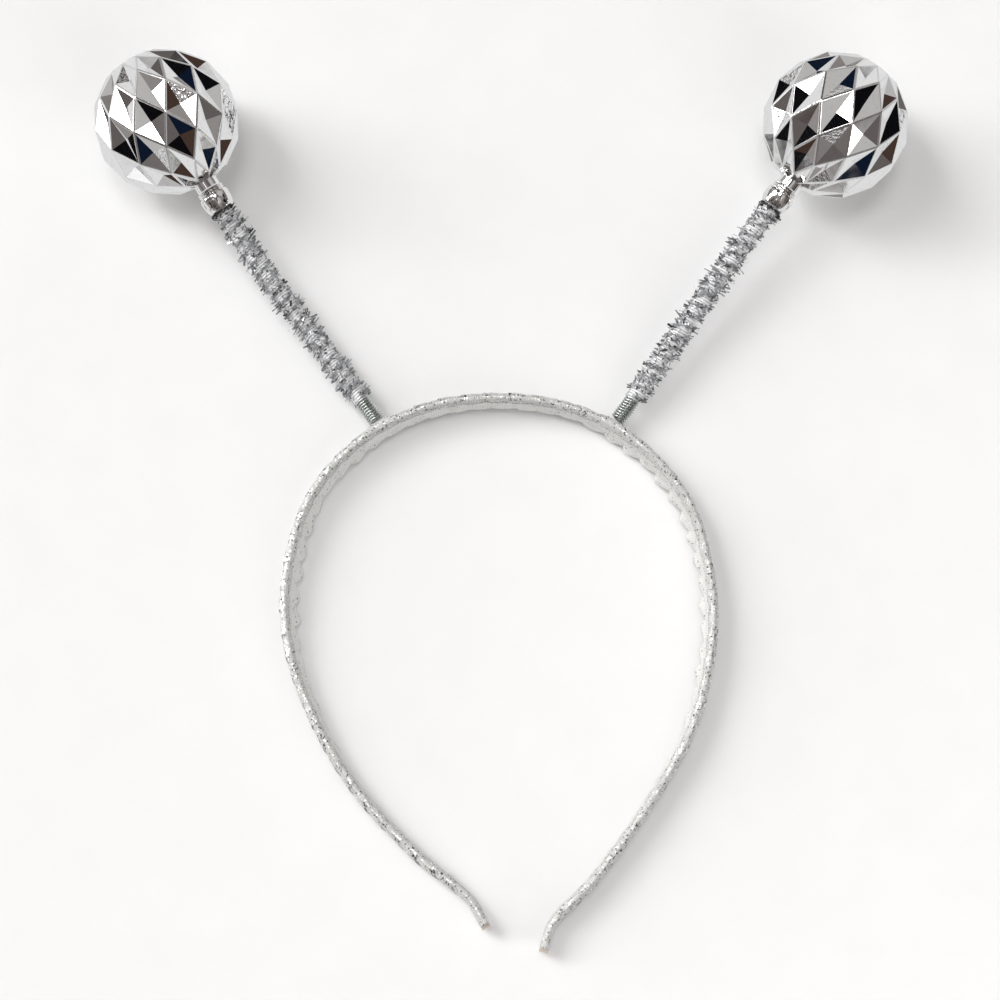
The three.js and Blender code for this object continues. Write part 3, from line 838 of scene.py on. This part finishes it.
def makeTinsel(side):
    line = side["line"]
    chance = random.Random(side["seed"])
    pattern = makeFoilStrip()
    base = readPoints(pattern)
    baseFaces = [list(face.vertices) for face in pattern.data.polygons]
    bpy.data.objects.remove(pattern)
    lowest = spring["bareLength"]
    start = lowest + tinsel["firstGap"]
    end = line.length - tinsel["lastGap"]
    turns = (end - start) / tinsel["pitch"]
    count = int(turns * tinsel["stripsPerTurn"])
    perTurn = tinsel["clumpsPerTurn"]
    clumps = [chance.uniform(*tinsel["clumpSize"]) for _ in range(int(turns * perTurn) + 2)]
    points, shades = [], []
    for i in range(count):
        turn = (i + chance.random()) / count * turns
        height = start + turn * tinsel["pitch"] + chance.gauss(0, tinsel["spread"])
        height = min(max(height, start), end)
        # strips close to the collar's mouth are painted dark as shade
        dark = chance.random() < tinsel["darkShare"] or height > end - tinsel["mouthPaintedShadeLength"]
        shades.append(chance.uniform(*tinsel["darkShades" if dark else "lightShades"]))
        size = clumps[int(turn * perTurn)]
        points.append(layStrip(base, chance, turn * 2 * math.pi, height, size, lowest, end))
    # extra dark strips at the mouth: a painted shadow
    for i in range(tinsel["mouthPaintedShadowStrips"]):
        angle = (i + chance.random()) / tinsel["mouthPaintedShadowStrips"] * 2 * math.pi
        height = end - chance.uniform(0, tinsel["collarReach"])
        shades.append(chance.uniform(*tinsel["mouthPaintedShadowShades"]))
        points.append(layStrip(base, chance, angle, height, tinsel["collarSize"], start, end))
    faces = [[v + i * len(base) for v in face] for i in range(len(points)) for face in baseFaces]
    mesh = bpy.data.meshes.new("foil")
    mesh.from_pydata(np.vstack(points).tolist(), [], faces)
    piece = bpy.data.objects.new("tinsel" + side["name"].capitalize(), mesh)
    bpy.context.scene.collection.objects.link(piece)
    storeValues(piece, "shade", np.repeat(shades, len(base)))
    thread = makeThread(start, turns, spring["diameter"] / 2 + tinsel["threadRadius"])
    storeValues(thread, "shade", [tinsel["threadShade"]] * len(thread.data.vertices))
    joinPieces(piece, [thread])
    writePoints(piece, toFrame(line.place(readPoints(piece))))
    tidyNormals(piece)
    return piece


def makeThread(start, turns, radius):
    clearSelection()
    bpy.ops.mesh.primitive_circle_add(
        vertices=tinsel["threadSides"], radius=tinsel["threadRadius"], fill_type="NOTHING",
        location=(radius, 0, start), rotation=(math.pi / 2, 0, 0),
    )
    piece = newest("thread")
    settle(piece)
    steps = int(tinsel["threadSteps"] * turns)
    windUp(piece, {
        "axis": "Z", "angle": 2 * math.pi * turns, "screw_offset": tinsel["pitch"] * turns,
        "steps": steps, "render_steps": steps,
    })
    return piece


# Strip and ribbon

def makeCore():
    clearSelection()
    bpy.ops.mesh.primitive_cube_add(size=1, location=(0.5, 0, 0))
    piece = newest("bandCore")
    settle(piece)
    editMode()
    bpy.ops.mesh.select_all(action="SELECT")
    bpy.ops.mesh.bevel(offset=strip["cornerRound"], segments=3, affect="EDGES", clamp_overlap=False)
    objectMode()
    return piece


ribbon = {
    "pitch": 6.3, "width": 1.5, "clearance": 0.2, "cloth": 0.16, "layer": 0.2, "lift": 0.03,
    "stepsRound": 44, "stepsAcross": 13, "seed": 5, "drift": 0.035, "swell": 0.3,
    # round the section: its roundness, and its usual half thickness and half breadth
    "power": 3.4, "usualHalf": (1.35, 4.7), "sectionSteps": 2400,
    "bossHeight": 0.55, "bossFlat": 2.0, "bossReach": 5.0,
    # across the ribbon, as shares of its width: where a turn steps down, and its lip
    "stepDown": (0.26, 0.52), "lip": 0.09, "lipLift": 0.05,
    # the inner edge that stands out in scallops, as a share round the section
    "scallopDepth": 1.15, "scallopAt": 0.93, "scallopReach": 0.075, "frayed": 0.07, "frayedShare": 0.5,
    "tipOverlap": 10.0, "tipSleeve": 15.0, "sleeveSteps": (40, 64), "seamLift": 0.06, "seamReach": 0.02,
    # the cloth's length once round, for its weave
    "roundWinding": 24.0, "roundSleeve": 22.0,
    # where white flakes are painted in as glints, as a place and a reach: beside the edge, on the corner, in
    # the middle
    "paintedGlintBeside": (0.1, 0.13), "paintedGlintCorner": (0.465, 0.045), "paintedGlintMiddle": (0.485, 0.012),
    "sleevePaintedGlint": 0.25, "innerFace": (0.57, 0.63), "frontEdge": (0.95, 1.0), "innerDullness": 0.85,
}


def roundedSection(angle, halfThick, halfBroad):
    s, c = np.sin(angle), np.cos(angle)
    reach = 2 / ribbon["power"]
    return halfThick * np.sign(s) * np.abs(s) ** reach, -halfBroad * np.sign(c) * np.abs(c) ** reach


def evenAngles():
    # even distances round the usual section, as the angle that its formula takes
    angle = np.linspace(0, 2 * math.pi, ribbon["sectionSteps"] + 1)
    out, up = roundedSection(angle, *ribbon["usualHalf"])
    lengths = np.concatenate([[0], np.cumsum(np.hypot(np.diff(out), np.diff(up)))])
    return lengths / lengths[-1], angle


def sectionPoint(share, halfThick, halfBroad):
    angle = np.interp(share % 1, *evenAngles())
    out, up = roundedSection(angle, halfThick, halfBroad)
    s, c = np.sin(angle), np.cos(angle)
    steepness = 2 - 2 / ribbon["power"]
    normalOut = np.sign(s) * np.abs(s) ** steepness / halfThick
    normalUp = -np.sign(c) * np.abs(c) ** steepness / halfBroad
    size = np.hypot(normalOut, normalUp)
    return out, up, normalOut / size, normalUp / size


def onStrip(distance, share, lift, bulge=0.0):
    # a point at that distance along the strip and share round its section, lifted off its surface
    middle, side, rise, halfBroad = stripLine.frameAt(distance)
    halfThick = strip["thickness"] / 2 + ribbon["clearance"]
    out, up, normalOut, normalUp = sectionPoint(share, halfThick, halfBroad + ribbon["clearance"])
    boss = np.zeros(len(distance))
    for footSide in sides:
        gap = np.abs(distance - stripLine.crown - footSide["sign"] * footSide["foot"])
        boss = np.maximum(boss, 1 - smoothStep(gap, ribbon["bossFlat"], ribbon["bossReach"]))
    lift = lift + boss * ribbon["bossHeight"] * np.clip(normalOut, 0, 1)
    out = out + normalOut * lift - bulge
    up = up + normalUp * lift
    return middle + side * out[:, None] + rise * up[:, None]


def nearTo(value, place, reach):
    # 1 at the place, falling off to both sides
    return np.exp(-((value - place) / reach) ** 2)


def nearShare(share, place, reach):
    # the same for a share round the section, which runs on from 1 to 0
    return nearTo((share - place + 0.5) % 1 - 0.5, 0, reach)


def makeWinding(start, end):
    pitch = ribbon["pitch"]
    turns = (end - start) / pitch - ribbon["width"]
    clearSelection()
    bpy.ops.mesh.primitive_grid_add(
        x_subdivisions=int(turns * ribbon["stepsRound"]), y_subdivisions=ribbon["stepsAcross"],
        size=1, calc_uvs=True,
    )
    piece = newest("ribbon")
    grid = readPoints(piece)
    wound = (grid[:, 0] + 0.5) * turns
    across = grid[:, 1] + 0.5
    chance = np.random.RandomState(ribbon["seed"])
    knots = np.arange(0, turns + 3, 0.25)
    drift = np.interp(wound, knots, chance.normal(0, ribbon["drift"], len(knots)))
    swell = np.interp(wound, knots, chance.normal(1, ribbon["swell"], len(knots)))
    distance = start + (wound + drift + across * ribbon["width"]) * pitch
    overlap = 1 - smoothStep(across, *ribbon["stepDown"])
    lift = ribbon["cloth"] / 2 + ribbon["lift"] + ribbon["layer"] * overlap * np.clip(swell, 0.6, 1.5)
    lip = 1 - smoothStep(across, 0.0, ribbon["lip"])
    lift = lift + lip * ribbon["lipLift"] * swell
    share = wound % 1
    # each turn stands out most beside the edge that lies on top, and draws in from there
    visible = np.clip(across * ribbon["width"], 0, 1)
    bump = smoothStep(visible, -0.12, 0.22) * (1 - visible) ** 0.8
    nearEdge = nearShare(share, ribbon["scallopAt"], ribbon["scallopReach"])
    depth = ribbon["scallopDepth"] * stripLine.value(np.clip(distance, 0, stripLine.length), 4)
    fineKnots = np.arange(0, turns + 3, 0.025)
    frayed = np.interp(wound, fineKnots, chance.normal(0, ribbon["frayed"], len(fineKnots)))
    bulge = depth * (bump + frayed * ribbon["frayedShare"]) * nearEdge * np.clip(swell, 0.4, 1.5)
    writePoints(piece, toFrame(onStrip(distance, share, lift, bulge)))
    storeValues(piece, "glitterAndPaintedLight", glitterAt(share))
    # painted glints: white flakes gather beside the edge that lies on top, most of them on the outer corner,
    # and a faint painted highlight runs along the middle of the front edge
    besideEdge = nearTo(visible, *ribbon["paintedGlintBeside"]) * np.clip(swell * 1.2 - 0.2, 0.2, 1.2)
    onCorner = nearTo(share, *ribbon["paintedGlintCorner"])
    alongMiddle = nearTo(share, *ribbon["paintedGlintMiddle"])
    storeValues(piece, "paintedGlints", onCorner * besideEdge + alongMiddle * 0.3)
    scaleUv(piece, turns * ribbon["roundWinding"], ribbon["width"] * pitch)
    return piece


def glitterAt(share):
    # the front edge and the outer face glitter, the inner face lies smooth and takes a lighter colour,
    # painted light against its shade
    inner = smoothStep(share, *ribbon["innerFace"]) * (1 - smoothStep(share, *ribbon["frontEdge"]))
    return 1 - inner * ribbon["innerDullness"]


def scaleUv(piece, long, broad):
    uv = piece.data.uv_layers[0].uv
    flat = np.empty(len(uv) * 2, dtype=np.float32)
    uv.foreach_get("vector", flat)
    flat = flat.reshape(-1, 2) * (long * mm, broad * mm)
    uv.foreach_set("vector", flat.ravel())


def makeSleeve(name, start, end):
    # ribbon laid lengthwise round a tip, under the winding
    clearSelection()
    alongSteps, roundSteps = ribbon["sleeveSteps"]
    bpy.ops.mesh.primitive_grid_add(
        x_subdivisions=alongSteps, y_subdivisions=roundSteps, size=1, calc_uvs=True,
    )
    piece = newest(name)
    grid = readPoints(piece)
    distance = start + (grid[:, 0] + 0.5) * (end - start)
    share = grid[:, 1] + 0.5
    seam = nearShare(share, 0.5, ribbon["seamReach"])
    lift = ribbon["cloth"] / 2 + ribbon["seamLift"] * seam
    writePoints(piece, toFrame(onStrip(distance, share * 0.999999, lift)))
    storeValues(piece, "glitterAndPaintedLight", glitterAt(share))
    # a painted glint along the seam
    storeValues(piece, "paintedGlints", ribbon["sleevePaintedGlint"] * seam)
    scaleUv(piece, end - start, ribbon["roundSleeve"])
    return piece


def makeRibbon():
    length = stripLine.length
    bare = strip["bareEnd"]
    winding = makeWinding(bare + ribbon["tipOverlap"], length - bare - 1.0)
    left = makeSleeve("leftSleeve", bare, bare + ribbon["tipSleeve"])
    right = makeSleeve("rightSleeve", length - bare - ribbon["tipSleeve"], length - bare)
    piece = joinPieces(winding, [left, right])
    tidyNormals(piece, weld=0.00001)
    thick = piece.modifiers.new("cloth", "SOLIDIFY")
    thick.thickness = ribbon["cloth"] * mm
    thick.offset = 0
    applyModifiers(piece)
    shadeSmooth(piece, 60)
    return piece


def layCore(piece):
    # the bar is cut into short lengths, then laid along the strip
    editMode()
    for share in np.linspace(strip["endCut"], 1 - strip["endCut"], strip["cuts"]):
        bpy.ops.mesh.select_all(action="SELECT")
        bpy.ops.mesh.bisect(plane_co=(share, 0, 0), plane_no=(1, 0, 0))
    objectMode()
    points = readPoints(piece)
    middle, side, rise, halfBroad = stripLine.frameAt(points[:, 0] * stripLine.length)
    # the cut ends spread to the ribbon's own thickness
    fromEnd = np.minimum(points[:, 0], 1 - points[:, 0]) * stripLine.length
    spread = 1 + strip["endSpread"] * (1 - smoothStep(fromEnd, 0.2, strip["bareEnd"] + 0.3))
    out = points[:, 1] * strip["thickness"] * spread
    up = points[:, 2] * 2 * halfBroad
    writePoints(piece, toFrame(middle + side * out[:, None] + rise * up[:, None]))
    shadeSmooth(piece, 50)
    return piece


# Finishes

tones = {
    "plated": ((0.87, 0.87, 0.87), (0.80, 0.80, 0.81)), "collar": ((0.86, 0.85, 0.84), (0.76, 0.75, 0.74)),
    "steel": ((0.46, 0.49, 0.47), (0.58, 0.61, 0.59)), "paintedLightCoil": (0.92, 0.92, 0.93),
    "foil": ((0.015, 0.016, 0.018), (0.84, 0.86, 0.89)), "plastic": ((0.46, 0.39, 0.33), (0.62, 0.56, 0.49)),
    "paintedLightInnerRibbon": ((0.76, 0.76, 0.735), (0.89, 0.89, 0.865)),
    "glossyRibbon": ((0.60, 0.60, 0.58), (0.78, 0.78, 0.755)),
    "hatch": ((0.80, 0.80, 0.80), (1.0, 1.0, 1.0)), "glint": (1.0, 1.0, 1.0), "darkFlake": (0.02, 0.02, 0.02),
}


def platedFinish():
    finish = Finish("platedBall")
    place = finish.objectPlace()
    ripple = finish.noise(place, 180, detail=1)
    crinkle = finish.noise(place, 1100, detail=2)
    smooth = finish.bump(ripple, 0.00010, 0.24)
    normal = finish.bump(crinkle * finish.stored("crinkled"), 0.0002, 1.0, below=smooth)
    dust = finish.noise(place, 900, detail=3)
    ridge = finish.stored("ridge")
    return finish.surface({
        "Base Color": finish.mixColours(dust.ease(0.4, 0.9), *tones["plated"]),
        "Metallic": 1.0,
        "Roughness": dust * 0.05 + 0.02 + ridge * 0.28,
        "Normal": normal,
    })


def collarFinish():
    finish = Finish("platedCollar")
    place = finish.objectPlace()
    ripple = finish.noise(place, 420, detail=2)
    scuff = finish.noise(place, 2600, detail=3)
    return finish.surface({
        "Base Color": finish.mixColours(scuff.ease(0.5, 0.8), *tones["collar"]),
        "Metallic": 1.0,
        "Roughness": scuff * 0.08 + 0.06,
        "Normal": finish.bump(ripple, 0.0001, 0.12),
    })


def springFinish():
    finish = Finish("springWire")
    place = finish.objectPlace()
    drawn = finish.noise(place, 5200, detail=3)
    tone = finish.noise(place, 380, detail=2)
    underFoilPaintedLight = finish.stored("underFoilPaintedLight")
    steel = finish.mixColours(tone.ease(0.3, 0.7), *tones["steel"])
    return finish.surface({
        # painted light: under the tinsel the coil takes a pale colour
        "Base Color": finish.mixColours(underFoilPaintedLight, steel, tones["paintedLightCoil"]),
        "Metallic": 1.0 - underFoilPaintedLight * 0.9,
        "Roughness": drawn * 0.12 + 0.16 + underFoilPaintedLight * 0.3,
        "Normal": finish.bump(drawn, 0.00002, 0.3),
    })


def foilFinish():
    finish = Finish("foil")
    place = finish.objectPlace()
    crease = finish.noise(place, 1900, detail=2)
    tone = finish.stored("shade")
    return finish.surface({
        "Base Color": finish.mixColours(tone, *tones["foil"]),
        "Metallic": tone.ease(0.54, 0.58) * 0.7 + 0.1,
        "Roughness": crease * 0.2 + 0.2,
        "Normal": finish.bump(crease, 0.00006, 0.5),
    })


# thread spacing and unevenness in m, and flakes in a metre
weave = {
    "ribStep": 0.0007, "ribSlant": 0.35, "ribDrift": 0.0007,
    "weftStep": 0.0008, "weftDrift": 0.0006, "flakes": 2700,
}


def ribbonFinish():
    finish = Finish("ribbonLame")
    cloth = finish.add("ShaderNodeUVMap", {"uv_map": "UVMap"})
    along, across, _ = finish.parts(cloth)
    tone = finish.noise(cloth, 500, detail=3)
    ribPlace = across + along * weave["ribSlant"] + tone * weave["ribDrift"]
    weftPlace = along + tone * weave["weftDrift"]
    rib = (ribPlace * (2 * math.pi / weave["ribStep"])).sine() * 0.5 + 0.5
    weft = (weftPlace * (2 * math.pi / weave["weftStep"])).sine() * 0.5 + 0.5
    threads = rib * 0.6 + weft * 0.4
    glints, chance = finish.flakes(cloth, weave["flakes"])
    pick, otherPick, _ = finish.parts(chance)
    glitterAndPaintedLight = finish.stored("glitterAndPaintedLight")
    paintedGlints = finish.stored("paintedGlints")
    # white flakes are painted highlights: glints, most where the painted glints are stored, fewer on the
    # inner face
    bright = (pick + glitterAndPaintedLight * 0.12 + paintedGlints * 0.9).ease(0.99, 1.05)
    dark = (otherPick + glitterAndPaintedLight * 0.05 + paintedGlints * 0.13).ease(0.975, 1.0)
    paintedLightInnerSide = finish.mixColours(tone, *tones["paintedLightInnerRibbon"])
    glossySide = finish.mixColours(tone, *tones["glossyRibbon"])
    # the inner face gets the lighter copy of the ribbon's colour: painted light
    base = finish.mixColours(glitterAndPaintedLight.ease(0.2, 0.9), paintedLightInnerSide, glossySide)
    base = finish.vector("MULTIPLY", base, finish.mixColours(threads, *tones["hatch"]))
    base = finish.mixColours(bright, base, tones["glint"])
    base = finish.mixColours(dark * 0.92, base, tones["darkFlake"])
    woven = finish.bump(threads, 0.00005, 0.5)
    normal = finish.bump(glints * glitterAndPaintedLight.ease(0.2, 0.6), 0.00006, 0.7, below=woven)
    return finish.surface({
        "Base Color": base,
        "Metallic": 0.1 + bright * 0.85,
        "Roughness": 0.5 - bright * 0.1,
        "Normal": normal,
    })


def coreFinish():
    finish = Finish("corePlastic")
    place = finish.objectPlace()
    speckle = finish.noise(place, 1400, detail=4)
    return finish.surface({
        "Base Color": finish.mixColours(speckle, *tones["plastic"]),
        "Roughness": speckle * 0.2 + 0.45,
        "Normal": finish.bump(speckle, 0.00008, 0.6),
    })


finishes = {
    "ball": (platedFinish(), "plated_ball"),
    "collar": (collarFinish(), "plated_collar"),
    "spring": (springFinish(), "spring_steel"),
    "tinsel": (foilFinish(), "foil_tinsel"),
    "ribbon": (ribbonFinish(), "silver_ribbon"),
    "core": (coreFinish(), "core_plastic"),
}


def dress(piece, kind, node):
    material, slotName = finishes[kind]
    piece.data.materials.clear()
    piece.data.materials.append(material)
    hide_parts(node)


core = layCore(makeCore())
dress(core, "core", "headband_core")
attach(core, "band")
ribbonPiece = makeRibbon()
dress(ribbonPiece, "ribbon", "ribbon_wrap")
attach(ribbonPiece, "band")
print("headband done")

for side in sides:
    body = "bopper_" + side["name"]
    for kind, make in (("ball", makeBall), ("collar", makeCollar)):
        piece = make(side)
        dress(piece, kind, kind + "_" + side["name"])
        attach(piece, body)
    for kind, make in (("spring", makeSpring), ("tinsel", makeTinsel)):
        piece = make(side)
        dress(piece, kind, kind + "_" + side["name"])
        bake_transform(piece)
    print(side["name"], "bopper done")
